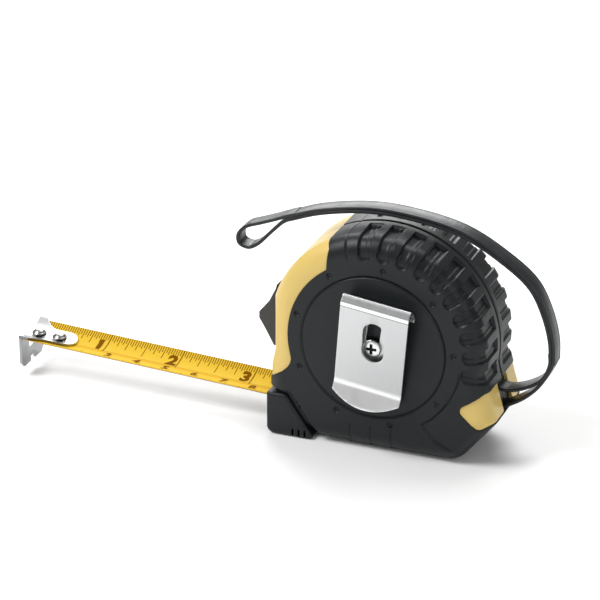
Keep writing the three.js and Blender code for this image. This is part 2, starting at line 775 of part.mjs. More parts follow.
function wristStrap() {
  const smooth = (shares, count) => new THREE.CatmullRomCurve3(
    shares.map(place).map((p) => new THREE.Vector3(p.x, 0, p.y)), false, 'centripetal',
  ).getSpacedPoints(count).map((p) => v2(p.x, p.z));
  const bend = Array.from({ length: strapBendSteps + 1 }, (_, i) => {
    const angle = (strapBendFrom + (i * strapBendTurn) / strapBendSteps) * rad;
    const r = postRadius + seatGap + strapPly / 2 + strapEase;
    return v2(postX + r * Math.cos(angle), postZ + r * Math.sin(angle));
  });
  const arch = smooth(strapArchShare, 22);
  const loop = smooth([strapArchShare.at(-1), ...strapLoopShare, strapArchShare.at(-1)], 20);
  const root = [arch[0], ...smooth(strapRootShare, 5), ...bend, ...smooth(strapTailShare, 5), arch[0]];
  const band = (line, thickness) => {
    const left = offsetSide(line, thickness / 2);
    const right = offsetSide(line, -thickness / 2);
    const pieces = [];
    for (let i = 0; i < line.length - 1; i++) {
      pieces.push(across(shapeOf([left[i], right[i], right[i + 1], left[i + 1]]), 0, strapWidth));
    }
    return wasm.Manifold.union(pieces);
  };
  return band(arch, 2 * strapPly).add(band(loop, strapPly)).add(band(root, strapPly))
    .translate([0, strapSide - strapWidth / 2, 0]);
}

const finishOf = (color, roughness, metalness) => new THREE.MeshStandardMaterial({ color, roughness, metalness });
const rubber = finishOf(0x393d40, 0.62, 0);
const yellow = finishOf(0xf0d97d, 0.35, 0);
const bladePaint = finishOf(0xfad746, 0.3, 0);
const steel = finishOf(0xd2d4d3, 0.3, 1);
const darkSteel = finishOf(0x777a7c, 0.4, 1);
const acetal = finishOf(0xdedcd4, 0.5, 0);
const blackPlastic = finishOf(0x34353a, 0.5, 0);
const strapBlack = finishOf(0x32373a, 0.55, 0);

const group = new THREE.Group();
function add(name, body, material) {
  const mesh = new THREE.Mesh(geometryOf(body), material);
  mesh.name = name;
  group.add(mesh);
}

add('shell_clip_side', shellClipSide, yellow);
add('shell_far_side', shellFarSide, yellow);
add('grip_clip_side', gripClipSide, rubber);
add('grip_far_side', gripFarSide, rubber);
add('axle_post', axlePost, blackPlastic);
add('reel_drum', reelDrum, acetal);
add('reel_cap', reelCap, acetal);
add('mainspring', mainspring, darkSteel);
add('blade_coil', bladeCoil, bladePaint);
add('blade', blade, bladePaint);
add('end_hook', endHook(), steel);
add('hook_rivet_front', rivet(rivetFirst), steel);
add('hook_rivet_rear', rivet(rivetFirst + rivetSpacing), steel);
add('thumb_lock', thumbLock(), blackPlastic);
add('belt_clip', beltClip(), steel);
add('clip_screw', screw(0, axisHeight, -half - seatGap - clipSheet - seatGap, -1,
  clipScrewHead, clipScrewHeight, clipScrewShank, rubberThickness + shellWall + screwReach), steel);
screwPlaces.forEach(([x, z], i) => {
  add(`case_screw_${i + 1}`, screw(x, axisHeight + z, half - rubberThickness + seatGap, 1,
    screwHead, screwHeadHeight, screwShank, half), darkSteel);
});
add('wrist_strap', wristStrap(), strapBlack);

export default group;
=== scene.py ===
import math

import bmesh
import bpy
import numpy as np
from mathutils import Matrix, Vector


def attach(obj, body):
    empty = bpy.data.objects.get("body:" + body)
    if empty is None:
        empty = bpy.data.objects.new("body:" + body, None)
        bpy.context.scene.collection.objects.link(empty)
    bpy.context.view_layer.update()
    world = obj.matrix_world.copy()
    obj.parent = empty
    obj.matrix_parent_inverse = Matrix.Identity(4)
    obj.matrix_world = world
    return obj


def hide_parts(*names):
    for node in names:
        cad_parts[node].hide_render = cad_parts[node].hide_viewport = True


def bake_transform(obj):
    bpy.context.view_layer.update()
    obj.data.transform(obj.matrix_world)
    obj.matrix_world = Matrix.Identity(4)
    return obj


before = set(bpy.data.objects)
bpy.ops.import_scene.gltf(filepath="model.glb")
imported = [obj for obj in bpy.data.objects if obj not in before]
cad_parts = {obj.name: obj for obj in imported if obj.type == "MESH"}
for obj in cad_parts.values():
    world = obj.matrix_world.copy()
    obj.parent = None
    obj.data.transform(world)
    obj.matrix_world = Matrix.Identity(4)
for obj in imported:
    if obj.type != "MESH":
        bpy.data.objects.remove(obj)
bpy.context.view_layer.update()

# Studio: a pale seamless floor under soft boxes, and a long lens that looks down on the clip side
# from the front, the way a catalogue shot of a pocket tape is taken.
aim_point = Vector((0, -0.016, 0.035))
azimuth, elevation = math.radians(21.47), math.radians(24.45)
view_right = Vector((math.cos(azimuth), math.sin(azimuth), 0))
view_back = Vector((math.sin(azimuth) * math.cos(elevation),
                    -math.cos(azimuth) * math.cos(elevation), math.sin(elevation)))
view_up = view_back.cross(view_right)
lens_distance, aim_left, aim_above = 0.93, 0.02198, 0.01461
camera_data = bpy.data.cameras.new("studio_camera")
camera_data.sensor_width = 36
camera_data.lens = 184.1
camera_data.clip_start = 0.01
studio_camera = bpy.data.objects.new("studio_camera", camera_data)
studio_camera.location = aim_point + view_back * lens_distance - view_right * aim_left + view_up * aim_above
studio_camera.rotation_mode = "QUATERNION"
studio_camera.rotation_quaternion = (-view_back).to_track_quat("-Z", "Y")
bpy.context.collection.objects.link(studio_camera)
bpy.context.scene.camera = studio_camera
bpy.context.scene.view_settings.view_transform = "Standard"


def soft_box(name, place, size, power):
    data = bpy.data.lights.new(name, "AREA")
    data.shape, data.size, data.energy = "DISK", size, power
    lamp = bpy.data.objects.new(name, data)
    lamp.location = place
    lamp.rotation_mode = "QUATERNION"
    lamp.rotation_quaternion = (aim_point - Vector(place)).to_track_quat("-Z", "Y")
    bpy.context.collection.objects.link(lamp)


soft_box("key_box", (-0.55, -0.35, 0.75), 0.45, 7)
soft_box("top_box", (0.05, 0.35, 0.85), 0.5, 3)
soft_box("side_box", (0.75, -0.60, 0.45), 0.5, 1.5)
soft_box("back_box", (-0.42, 0.90, 0.60), 0.9, 10)
world = bpy.data.worlds.new("studio_world")
world.use_nodes = True
world.node_tree.nodes["Background"].inputs["Color"].default_value = (1, 1, 1, 1)
world.node_tree.nodes["Background"].inputs["Strength"].default_value = 0.35
bpy.context.scene.world = world


class Value:
    """A shader socket that takes part in Python arithmetic."""

    def __init__(self, tree, socket):
        self.tree, self.socket = tree, socket

    def node(self, kind, settings=(), sockets=(), output=0):
        made = self.tree.nodes.new(kind)
        for name, setting in dict(settings).items():
            setattr(made, name, setting)
        for name, value in dict(sockets).items():
            if isinstance(value, Value):
                self.tree.links.new(value.socket, made.inputs[name])
            else:
                made.inputs[name].default_value = value
        return Value(self.tree, made.outputs[output])

    def maths(self, operation, *others):
        return self.node("ShaderNodeMath", {"operation": operation}, enumerate((self, *others)))

    def __add__(self, other):
        return self.maths("ADD", other)

    def __sub__(self, other):
        return self.maths("SUBTRACT", other)

    def __rsub__(self, other):
        return self.node("ShaderNodeMath", {"operation": "SUBTRACT"}, {0: other, 1: self})

    def __mul__(self, other):
        return self.maths("MULTIPLY", other)

    def __truediv__(self, other):
        return self.maths("DIVIDE", other)

    def __lt__(self, other):
        return self.maths("LESS_THAN", other)

    def __gt__(self, other):
        return self.maths("GREATER_THAN", other)

    __radd__, __rmul__ = __add__, __mul__


def new_finish(name, **constants):
    """A material, its shader and the place on the piece in metres."""
    material = bpy.data.materials.new(name)
    material.use_nodes = True
    tree = material.node_tree
    shader = tree.nodes["Principled BSDF"]
    for socket, value in constants.items():
        shader.inputs[socket.replace("_", " ")].default_value = value
    place = Value(tree, None).node("ShaderNodeTexCoord", output="Object")
    return material, shader, place


def feed(shader, socket, value):
    value.tree.links.new(value.socket, shader.inputs[socket])


def noise(place, scale, detail=2):
    return place.node("ShaderNodeTexNoise", {}, {"Vector": place, "Scale": scale, "Detail": detail}, "Fac")


def mixed(mask, first, second):
    return mask.node("ShaderNodeMix", {"data_type": "RGBA"}, {0: mask, 6: first, 7: second}, 2)


floor_finish, floor_shader, floor_place = new_finish("floor_paper", Roughness=0.9)
feed(floor_shader, "Base Color", mixed(noise(floor_place, 30), (0.90, 0.90, 0.90, 1), (0.94, 0.94, 0.94, 1)))
floor_mesh = bpy.data.meshes.new("studio_floor")
floor_mesh.from_pydata([(-4, -4, 0), (4, -4, 0), (4, 4, 0), (-4, 4, 0)], [], [(0, 1, 2, 3)])
floor_mesh.materials.append(floor_finish)
studio_floor = bpy.data.objects.new("studio_floor", floor_mesh)
studio_floor.location.z = -0.0002
bpy.context.collection.objects.link(studio_floor)

# Inside: the axle post on the clip screw, the reel's drum and cap that turn on it, the blued
# mainspring that winds it, and the turns of blade on the drum. The shells cover them.


def bumped(height, distance):
    return height.node("ShaderNodeBump", {}, {"Height": height, "Distance": distance, "Strength": 1.0})


def moulded(name, colour, shade, roughness, grain, depth, specular=0.5):
    """Moulded plastic or rubber: fine grain, a slow drift of shade, and duller patches."""
    material, shader, place = new_finish(name, Specular_IOR_Level=specular)
    drift = noise(place, 90)
    feed(shader, "Base Color", mixed(drift, (*colour, 1), (*shade, 1)))
    feed(shader, "Roughness", roughness + (noise(place, 400) - 0.5) * 0.16)
    feed(shader, "Normal", bumped(noise(place, grain, 3), depth))
    return material


def brushing(place, brush, streak):
    """Fine streaks, drawn out along the direction whose share is small."""
    stretched = place.node("ShaderNodeVectorMath", {"operation": "MULTIPLY"}, {0: place, 1: brush}, "Vector")
    return noise(stretched, streak, 3)


def metal(name, colour, roughness, brush=(1, 1, 1), streak=900):
    """Sheet steel: brushed along one direction, with faint wear that changes its gloss."""
    material, shader, place = new_finish(name, Metallic=1.0)
    streaks = brushing(place, brush, streak)
    feed(shader, "Base Color", mixed(streaks, (*[c * 0.93 for c in colour], 1), (*colour, 1)))
    feed(shader, "Roughness", roughness + (streaks - 0.5) * 0.14 + (noise(place, 120) - 0.5) * 0.08)
    feed(shader, "Normal", bumped(streaks, 0.000002))
    return material


def crisp(piece, degrees=35):
    """Keeps the edges sharp that turn by more than the given angle."""
    edges = piece.modifiers.new("crisp_edges", "EDGE_SPLIT")
    edges.split_angle = math.radians(degrees)


def dress(node, material):
    """Puts a finish on a CAD node and shades its curved faces smooth."""
    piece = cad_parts[node]
    piece.data.materials.clear()
    piece.data.materials.append(material)
    piece.data.polygons.foreach_set("use_smooth", [True] * len(piece.data.polygons))
    crisp(piece)


axle_finish = moulded("axle_acetal", (0.10, 0.10, 0.11), (0.13, 0.13, 0.14), 0.4, 900, 0.00001)
reel_finish = moulded("reel_acetal", (0.72, 0.71, 0.67), (0.78, 0.77, 0.73), 0.45, 900, 0.00001)
spring_finish = metal("spring_blued", (0.16, 0.19, 0.27), 0.3)
coil_finish = moulded("coil_lacquer", (0.60, 0.385, 0.03), (0.65, 0.43, 0.045), 0.4, 900, 0.000004)
for node, finish in {"axle_post": axle_finish, "reel_drum": reel_finish, "reel_cap": reel_finish,
                     "mainspring": spring_finish, "blade_coil": coil_finish}.items():
    dress(node, finish)

# Shells: two halves moulded in pale yellow plastic that carry the axle, the reel and the screws. The
# rubber leaves them bare down the front and at the rear corner, where the strap's slot is.
mm = 0.001
axis_height = 35 * mm
half_width = 16 * mm
crown_radius = 35.5 * mm
front_reach, nose_reach, nose_top, nose_step = 33.9 * mm, 35 * mm, 22.6 * mm, 5.4 * mm
bottom_rear, heel_reach, heel_height = 27 * mm, 39.2 * mm, 15 * mm
spine_reach, spine_height = 35.6 * mm, 27.5 * mm
round_across, round_in = 5.5 * mm, 6 * mm
seat_gap = 0.3 * mm
grip_depth = 1.7 * mm
grid_step = 0.3 * mm


def about_axis(radius, degrees):
    turn = np.radians(degrees)
    return np.stack([radius * np.cos(turn), axis_height + radius * np.sin(turn)], -1)


def inset(points, distance):
    """Moves every edge of a closed outline inwards by the same distance."""
    before, after = np.roll(points, 1, 0), np.roll(points, -1, 0)
    a = (points - before) / np.linalg.norm(points - before, axis=1)[:, None]
    b = (after - points) / np.linalg.norm(after - points, axis=1)[:, None]
    na, nb = np.stack([-a[:, 1], a[:, 0]], -1), np.stack([-b[:, 1], b[:, 0]], -1)
    return points + (na + nb) * (distance / (1 + (na * nb).sum(1)))[:, None]


def filleted(points, radii, steps=7):
    """Rounds the corners that have a radius, each to the same count of points."""
    done = []
    for i, (corner, radius) in enumerate(zip(points, radii)):
        if not radius:
            done.append(corner)
            continue
        back, ahead = points[i - 1] - corner, points[(i + 1) % len(points)] - corner
        back, ahead = back / np.linalg.norm(back), ahead / np.linalg.norm(ahead)
        half_turn = math.acos(np.clip(back @ ahead, -1, 1)) / 2
        reach = radius / math.tan(half_turn)
        centre = corner + (back + ahead) / np.linalg.norm(back + ahead) * radius / math.sin(half_turn)
        first, last = corner + back * reach - centre, corner + ahead * reach - centre
        sweep = math.atan2(first[0] * last[1] - first[1] * last[0], first @ last)
        for turn in np.linspace(0, sweep, steps):
            done.append(centre + np.array([first[0] * math.cos(turn) - first[1] * math.sin(turn),
                                           first[0] * math.sin(turn) + first[1] * math.cos(turn)]))
    return np.array(done)


def case_ring(distance):
    """Dense points round the case's outline, moved inwards; the corners keep their rounding."""
    radii = [max(radius - distance, 0.01 * mm) if radius else 0 for radius in corner_radii]
    points = filleted(inset(case_outline, distance), radii)
    after = np.roll(points, -1, 0)
    return np.concatenate([p + (q - p) * (np.arange(n) / n)[:, None]
                           for p, q, n in zip(points, after, edge_counts)])


def line_distance(x, z, line):
    """Distance to an open line."""
    least = np.full(x.shape, np.inf)
    for (ax, az), (bx, bz) in zip(line[:-1], line[1:]):
        t = np.clip(((x - ax) * (bx - ax) + (z - az) * (bz - az)) / ((bx - ax) ** 2 + (bz - az) ** 2), 0, 1)
        least = np.minimum(least, np.hypot(x - ax - t * (bx - ax), z - az - t * (bz - az)))
    return least


def edge_distance(x, z, outline):
    """Distance to a closed outline, negative inside it."""
    closed = np.concatenate([outline, outline[:1]])
    inside = np.zeros(x.shape, bool)
    for (ax, az), (bx, bz) in zip(closed[:-1], closed[1:]):
        if az != bz:
            inside ^= ((az > z) != (bz > z)) & (x < (bx - ax) * (z - az) / (bz - az) + ax)
    return line_distance(x, z, closed) * np.where(inside, -1, 1)


def eased(distance, width):
    """1 where distance is below 0, 0 beyond width, with a soft shoulder between."""
    t = np.clip(distance / width, 0, 1)
    return 1 - t * t * (3 - 2 * t)


def face_out(mesh):
    shape = bmesh.new()
    shape.from_mesh(mesh)
    bmesh.ops.recalc_face_normals(shape, faces=shape.faces)
    shape.to_mesh(mesh)
    shape.free()


def points_of(mesh):
    flat = np.zeros(len(mesh.vertices) * 3)
    mesh.vertices.foreach_get("co", flat)
    return flat.reshape(-1, 3)


def piece_from(name, points, faces, material, body=None, smooth=True):
    mesh = bpy.data.meshes.new(name)
    mesh.from_pydata([tuple(p) for p in points], [], [tuple(f) for f in faces])
    mesh.materials.append(material)
    mesh.polygons.foreach_set("use_smooth", [smooth] * len(mesh.polygons))
    face_out(mesh)
    piece = bpy.data.objects.new(name, mesh)
    bpy.context.collection.objects.link(piece)
    if body:
        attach(piece, body)
    return piece


def ring_faces(rows, columns, closed=False, flip=False):
    """Four-cornered faces between rings of points; closed joins the last ring to the first."""
    row, column = np.arange(rows if closed else rows - 1)[:, None], np.arange(columns)[None, :]
    next_row, next_column = (row + 1) % rows, (column + 1) % columns
    corners = [row * columns + column, row * columns + next_column,
               next_row * columns + next_column, next_row * columns + column]
    return np.stack(corners[::-1] if flip else corners, -1).reshape(-1, 4).tolist()


front_angle = 180 - math.degrees(math.acos(front_reach / crown_radius))
rear_angle = -math.degrees(math.acos(spine_reach / crown_radius / 1.012))
case_outline = np.concatenate([
    about_axis(crown_radius, [*np.linspace(rear_angle, front_angle - 3.5, 119), front_angle]),
    np.array([(-front_reach, nose_top + nose_step), (-nose_reach, nose_top), (-nose_reach, 5 * mm),
              (-nose_reach + 5 * mm, 0), (bottom_rear, 0), (heel_reach, heel_height),
              (spine_reach, spine_height)])])
corner_radii = [0] * 120 + [0, 1.2 * mm, 0, 0, 7 * mm, 2.5 * mm, 0]
rounded_outline = filleted(case_outline, corner_radii)
edge_runs = np.roll(rounded_outline, -1, 0) - rounded_outline
edge_lengths = np.linalg.norm(edge_runs, axis=1)
edge_counts = np.maximum(1, np.round(edge_lengths / grid_step)).astype(int)
edge_out = np.stack([edge_runs[:, 1], -edge_runs[:, 0]], -1) / edge_lengths[:, None]
column_out = np.repeat(edge_out, edge_counts, 0)

badge_edge = 28.1 * mm
front_window = np.concatenate([
    about_axis(badge_edge, np.linspace(123.6, 193, 30)),
    np.array([(-27.0, 26.7), (-27.3, 25.2), (-28.2, 23.6), (-29.8, 22.1), (-32.3, 20.5), (-34, 19.2),
              (-37, 17.2), (-37, 70.5)]) * mm,
    about_axis(crown_radius + 6 * mm, 117)[None], about_axis(crown_radius - 2 * mm, 117)[None]])
rear_window = filleted(np.array([
    (bottom_rear + seat_gap, axis_height - 16.2 * mm), (heel_reach - 5 * mm, heel_height - 2.4 * mm),
    (heel_reach, heel_height + seat_gap), (heel_reach + 6 * mm, heel_height + seat_gap),
    (heel_reach + 6 * mm, spine_height - 2.6 * mm), (spine_reach, spine_height - 3.2 * mm)]),
    [1.6 * mm, 1.4 * mm, 0, 0, 0, 0])


def case_skin(side, relief, wall):
    """A closed skin: out from the screw hole over side and crown to the seam, then back inside the wall."""
    axis = np.array([0, axis_height])
    rim = case_ring(round_in)
    spokes = rim - axis
    reach = np.linalg.norm(spokes, axis=1)[:, None]
    hub, disc_plain, disc_fine, disc_rim = (2 if side < 0 else 0.02) * mm, 21.6 * mm, 22 * mm, 25 * mm
    rows = []
    for radius in [*np.linspace(hub, disc_plain, 8), *np.linspace(disc_fine, disc_rim, 10)]:
        rows.append((axis + spokes * (radius / reach), half_width, 0.0))
    for share in np.linspace(0, 1, 24)[1:]:
        rows.append((axis + spokes * ((disc_rim + (reach - disc_rim) * share) / reach), half_width, 0.0))
    for turn in np.linspace(0, math.pi / 2, 31)[1:]:
        rows.append((case_ring(round_in * (1 - math.sin(turn))),
                     half_width - round_across * (1 - math.cos(turn)), turn))
    crown = case_ring(0)
    for y in np.linspace(half_width - round_across, seat_gap / 2, 37)[1:]:
        rows.append((crown, y, math.pi / 2))
    skin = []
    for place, y, turn in rows:
        depth = relief(place[:, 0], np.full(len(place), y), place[:, 1])
        out_share, side_share = math.sin(turn) / round_in, math.cos(turn) / round_across
        length = math.hypot(out_share, side_share)
        moved = place - column_out * (depth * out_share / length)[:, None]
        skin.append(np.column_stack([moved[:, 0], side * (y - depth * side_share / length), moved[:, 1]]))
    inner = [(case_ring(wall), y) for y in (seat_gap / 2, half_width / 3)]
    for turn in np.radians([90, 60, 30, 0]):
        inner.append((case_ring(wall + (round_in - wall) * (1 - math.sin(turn))),
                      half_width - wall - (round_across - wall) * (1 - math.cos(turn))))
    inner.append((axis + spokes * (hub / reach), half_width - wall))
    for place, y in inner:
        skin.append(np.column_stack([place[:, 0], np.full(len(place), side * y), place[:, 1]]))
    return skin


def shell_relief(x, y, z):
    """The shell stands up into the rubber's two windows and lies under it everywhere else."""
    bare = np.minimum(edge_distance(x, z, front_window), edge_distance(x, z, rear_window))
    return 2 * mm - 1.6 * mm * eased(bare - 0.3 * mm, 0.7 * mm)


def block(low, high):
    """A plain box used as a cutter."""
    corners = [(x, y, z) for x in (low[0], high[0]) for y in (low[1], high[1]) for z in (low[2], high[2])]
    return piece_from("cutter", corners, [(0, 1, 3, 2), (4, 6, 7, 5), (0, 4, 5, 1), (2, 3, 7, 6),
                                          (0, 2, 6, 4), (1, 5, 7, 3)], None)


def drum(centre, radius, y_low, y_high, sides=48):
    """A round rod across the case."""
    turns = np.linspace(0, 2 * math.pi, sides, endpoint=False)
    ring = [(centre[0] + radius * math.cos(t), centre[1] + radius * math.sin(t)) for t in turns]
    points = [(x, y, z) for y in (y_low, y_high) for x, z in ring]
    faces = [(i, (i + 1) % sides, sides + (i + 1) % sides, sides + i) for i in range(sides)]
    faces += [tuple(range(sides))[::-1], tuple(range(sides, 2 * sides))]
    return piece_from("cutter", points, faces, None)


def carve(piece, tool, operation="DIFFERENCE"):
    """Applies one boolean and throws its tool away."""
    tool.data.materials.clear()
    tool.data.materials.append(piece.data.materials[0])
    for shape in (piece, tool):
        face_out(shape.data)
    cut = piece.modifiers.new("cut", "BOOLEAN")
    cut.operation, cut.solver, cut.object = operation, "MANIFOLD", tool
    settle(piece)
    bpy.data.objects.remove(tool)


def settle(piece):
    """Turns a piece's modifiers into its mesh."""
    graph = bpy.context.evaluated_depsgraph_get()
    shaped = bpy.data.meshes.new_from_object(piece.evaluated_get(graph))
    piece.modifiers.clear()
    piece.data = shaped


screw_angles, screw_circle = (100, 25, 215, -35), 27.8 * mm
mouth_box = (-37 * mm, -9.2 * mm, 5.2 * mm), (-28 * mm, 9.2 * mm, 13 * mm)
lock_slot_box = (-37 * mm, -2.9 * mm, 28.2 * mm), (-28 * mm, 2.9 * mm, 38.8 * mm)
shell_wall, screw_bore = 4.2 * mm, 1.3 * mm
post_place, post_radius = (33 * mm, 17.4 * mm), 2 * mm
strap_slot_box = (27.8 * mm, -4.4 * mm, 10.8 * mm), (45 * mm, 4.4 * mm, 25.6 * mm)
shell_finish = moulded("shell_yellow", (0.62, 0.445, 0.118), (0.66, 0.48, 0.142), 0.34, 1500, 0.00001)
for name, side in (("clip_side", -1), ("far_side", 1)):
    skin = case_skin(side, shell_relief, shell_wall)
    faces = ring_faces(len(skin), len(skin[0]), True, flip=side < 0)
    half_shell = piece_from(f"moulded_shell_{name}", np.concatenate(skin), faces, shell_finish, "case")
    slot_cutter = block(*strap_slot_box)
    carve(slot_cutter, drum(post_place, post_radius, -half_width, half_width))
    carve(half_shell, slot_cutter)
    if side > 0:
        for angle in screw_angles:
            carve(half_shell, drum(about_axis(screw_circle, angle), screw_bore, 0, half_width, 24))
    carve(half_shell, block(*mouth_box))
    carve(half_shell, block(*lock_slot_box))
    crisp(half_shell)
    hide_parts(f"shell_{name}")

# Grips: soft black rubber moulded over both shells, one skin on each side of the parting plane.
# Ten tread pockets cross the crown, a fine groove and nine dimples ring the side, and the front
# foot and the rear corner are set off by grooves.
foot_length, foot_top, foot_reach, foot_gap = 6.5 * mm, 14 * mm, 14.5 * mm, 1.2 * mm
head_hole = 2.8 * mm
foot_area = np.array([
    (-nose_reach - 3 * mm, -3 * mm), (-nose_reach + foot_reach + 2.9 * mm, -3 * mm),
    (-nose_reach + foot_reach + 2.9 * mm, foot_gap), (-nose_reach + foot_length + 1.4 * mm, foot_top + foot_gap),
    (-nose_reach - 3 * mm, foot_top + foot_gap)])
corner_groove = np.concatenate([
    about_axis(28.2 * mm, np.linspace(-8, -42, 12)),
    np.array([(18.6, 13.9), (15.9, 11.7), (20.3, 7.1), (25.5, 4.6)]) * mm])
side_marks = [-7.1 * mm, -0.5 * mm, 6.15 * mm]
pocket_count, pocket_start, pocket_pitch = 10, 96, 11.64
pocket_half, pocket_foot = 1.95 * mm, 28.6 * mm
disc_radius, dimple_circle, dimple_start, dimple_count = 23.1 * mm, 25.8 * mm, 3.26, 9


def tread_depth(x, y, z):
    """Ten round-ended pockets that run from the side up over the crown, each with a step in its floor."""
    depth = np.zeros(x.shape)
    for pocket in range(pocket_count):
        turn = math.radians(pocket_start - pocket_pitch * pocket)
        outward = x * math.cos(turn) + (z - axis_height) * math.sin(turn)
        sideways = -x * math.sin(turn) + (z - axis_height) * math.cos(turn)
        foot = pocket_foot + pocket_half
        away = np.where(outward > foot, np.abs(sideways), np.hypot(outward - foot, sideways)) - pocket_half
        away = np.maximum(away, 3.1 * mm - y) + 0.1 * mm
        floor = 0.75 * mm + 0.25 * mm * eased(-sideways - 0.3 * mm, 0.3 * mm)
        depth = np.maximum(depth, np.where(outward > 0, floor * eased(away, 0.32 * mm), 0))
    return depth


def grip_relief(x, y, z):
    """How deep the surface lies below the plain rounded case; y is the distance from the parting plane."""
    radius = np.hypot(x, z - axis_height)
    depth = tread_depth(x, y, z)
    depth = np.maximum(depth, 0.45 * mm * eased(y - 0.15 * mm, 0.45 * mm))
    on_side = y > half_width - 0.4 * mm
    groove = np.abs(radius - disc_radius) - 0.1 * mm
    depth = np.maximum(depth, np.where(on_side, 0.5 * mm * eased(groove, 0.4 * mm), 0))
    for place in about_axis(dimple_circle, dimple_start + 360 / dimple_count * np.arange(dimple_count)):
        hole = np.hypot(x - place[0], z - place[1]) - 0.6 * mm
        depth = np.maximum(depth, np.where(on_side, 0.7 * mm * eased(hole, 0.42 * mm), 0))
    rim_turn = math.radians(106.5)
    across_rim = np.abs(-x * math.sin(rim_turn) + (z - axis_height) * math.cos(rim_turn))
    rim = (radius > 29.4 * mm) & (z > axis_height)
    depth = np.maximum(depth, np.where(rim, 0.28 * mm * eased(across_rim - 0.05 * mm, 0.32 * mm), 0))
    low_side = (y > half_width - round_across) & (radius > 24.5 * mm)
    corner = line_distance(x, z, corner_groove)
    depth = np.maximum(depth, np.where(low_side, 0.5 * mm * eased(corner - 0.12 * mm, 0.3 * mm), 0))
    for mark in side_marks:
        line = np.maximum(np.abs(x - mark) - 0.06 * mm, z - 8.2 * mm)
        depth = np.maximum(depth, np.where(low_side, 0.35 * mm * eased(line, 0.34 * mm), 0))
    arch = np.maximum(np.abs(x + 13 * mm) - 4.4 * mm, z - 1.6 * mm)
    depth = np.maximum(depth, 1.3 * mm * eased(arch, 0.7 * mm))
    for window in (front_window, rear_window):
        depth = np.maximum(depth, 1.45 * mm * eased(edge_distance(x, z, window) + 0.1 * mm, 0.5 * mm))
    depth = np.maximum(depth, 1.5 * mm * eased(edge_distance(x, z, foot_area) + 0.1 * mm, 0.5 * mm))
    return depth


rubber_finish = moulded("grip_rubber", (0.0055, 0.0075, 0.0085), (0.008, 0.0105, 0.012), 0.42, 3000, 0.00002, 0.3)
for name, side in (("clip_side", -1), ("far_side", 1)):
    skin = case_skin(side, grip_relief, grip_depth)
    faces = ring_faces(len(skin), len(skin[0]), True, flip=side < 0)
    rubber_skin = piece_from(f"rubber_grip_{name}", np.concatenate(skin), faces, rubber_finish, "case")
    carve(rubber_skin, block(*mouth_box))
    if side > 0:
        for angle in screw_angles:
            place = about_axis(screw_circle, angle)
            carve(rubber_skin, drum(place, head_hole, half_width - 3 * mm, half_width + 1 * mm))
    crisp(rubber_skin, 60)
    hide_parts(f"grip_{name}")


# Foot: the rubber block under the mouth that the tape stands on in front, with three notches at its
# lower rear edge. It is moulded in one with the grips and is drawn on its own.
foot_corners = np.array([(-nose_reach, 0), (-nose_reach + foot_reach + 1.5 * mm, 0),
                         (-nose_reach + foot_length, foot_top), (-nose_reach, foot_top)])
foot_radii, foot_edge = [2.2 * mm, 0.9 * mm, 1.4 * mm, 0.8 * mm], 1.0 * mm
throat_box = (-29.5 * mm, -9.2 * mm, 4.2 * mm), (-15 * mm, 9.2 * mm, 15 * mm)
notch_pitch, notch_width, notch_depth = 2 * mm, 0.7 * mm, 1.6 * mm
foot_rows = []
for turn in np.radians(np.linspace(90, 0, 7)):
    outline = filleted(inset(foot_corners, foot_edge * (1 - math.sin(turn))), foot_radii, 9)
    foot_rows.append((outline, half_width - foot_edge * (1 - math.cos(turn))))
for name, side in (("clip_side", -1), ("far_side", 1)):
    rows = [(foot_rows[0][0], seat_gap / 2), *foot_rows]
    points = np.concatenate([np.column_stack([place[:, 0], np.full(len(place), side * y), place[:, 1]])
                             for place, y in rows])
    columns = len(foot_rows[0][0])
    faces = ring_faces(len(rows), columns, flip=side < 0)
    faces += [tuple(range(columns)), tuple(range(len(points) - columns, len(points)))]
    foot = piece_from(f"rubber_foot_{name}", points, faces, rubber_finish, "case")
    carve(foot, block(*mouth_box))
    carve(foot, block(*throat_box))
    for notch in (1, 2, 3):
        start = -nose_reach + foot_reach - notch * notch_pitch
        low, high = sorted((side * (half_width + 1 * mm), side * (half_width - notch_depth)))
        carve(foot, block((start, low, 0.4 * mm), (start + notch_width, high, 2.8 * mm)))
    crisp(foot, 40)

# Blade: a sprung steel strip, hollow across its width so that it stands out straight, lacquered
# yellow and printed in brown with inches on the far half and centimetres on the near half.
nose_face, blade_half, blade_sheet, blade_hollow = -35 * mm, 8 * mm, 0.3 * mm, 2.1 * mm
blade_slope = 0.0504
blade_tip, coil_foot = -122.7 * mm, 10.9 * mm
lead_start, scale_zero = -27 * mm, -123.4 * mm


def blade_level(x):
    """Height of the hollow's floor along the straight stretch."""
    return 6.7 * mm + (nose_face - x) * blade_slope


def blade_height(x, y, lift=0.0):
    """Height of the blade's lower face, flattening out along the lead to the coil."""
    share = np.clip(x / lead_start, 0, 1)
    share = share * share * (3 - 2 * share)
    level = coil_foot + (blade_level(x) - coil_foot) * share
    return level + blade_hollow * share * (y / blade_half) ** 2 + lift


def strip_faces(rows, columns):
    """Faces of a strip whose rows run along one face and back along the other, closed at both ends."""
    ends = [(start + i, start + i + 1, start + 2 * columns - 2 - i, start + 2 * columns - 1 - i)
            for start in (0, (rows - 1) * 2 * columns) for i in range(columns - 1)]
    return ring_faces(rows, 2 * columns) + ends


def strip_skin(xs, halves, height, thickness, columns):
    """A closed strip: rows across the blade at each x, upper and lower face."""
    rows = []
    for x, reach in zip(xs, halves):
        y = np.linspace(-reach, reach, columns)
        lower = np.column_stack([np.full(columns, x), y, height(x, y)])
        rows.append(np.concatenate([lower, (lower + [0, 0, thickness])[::-1]]))
    return np.concatenate(rows), strip_faces(len(rows), columns)


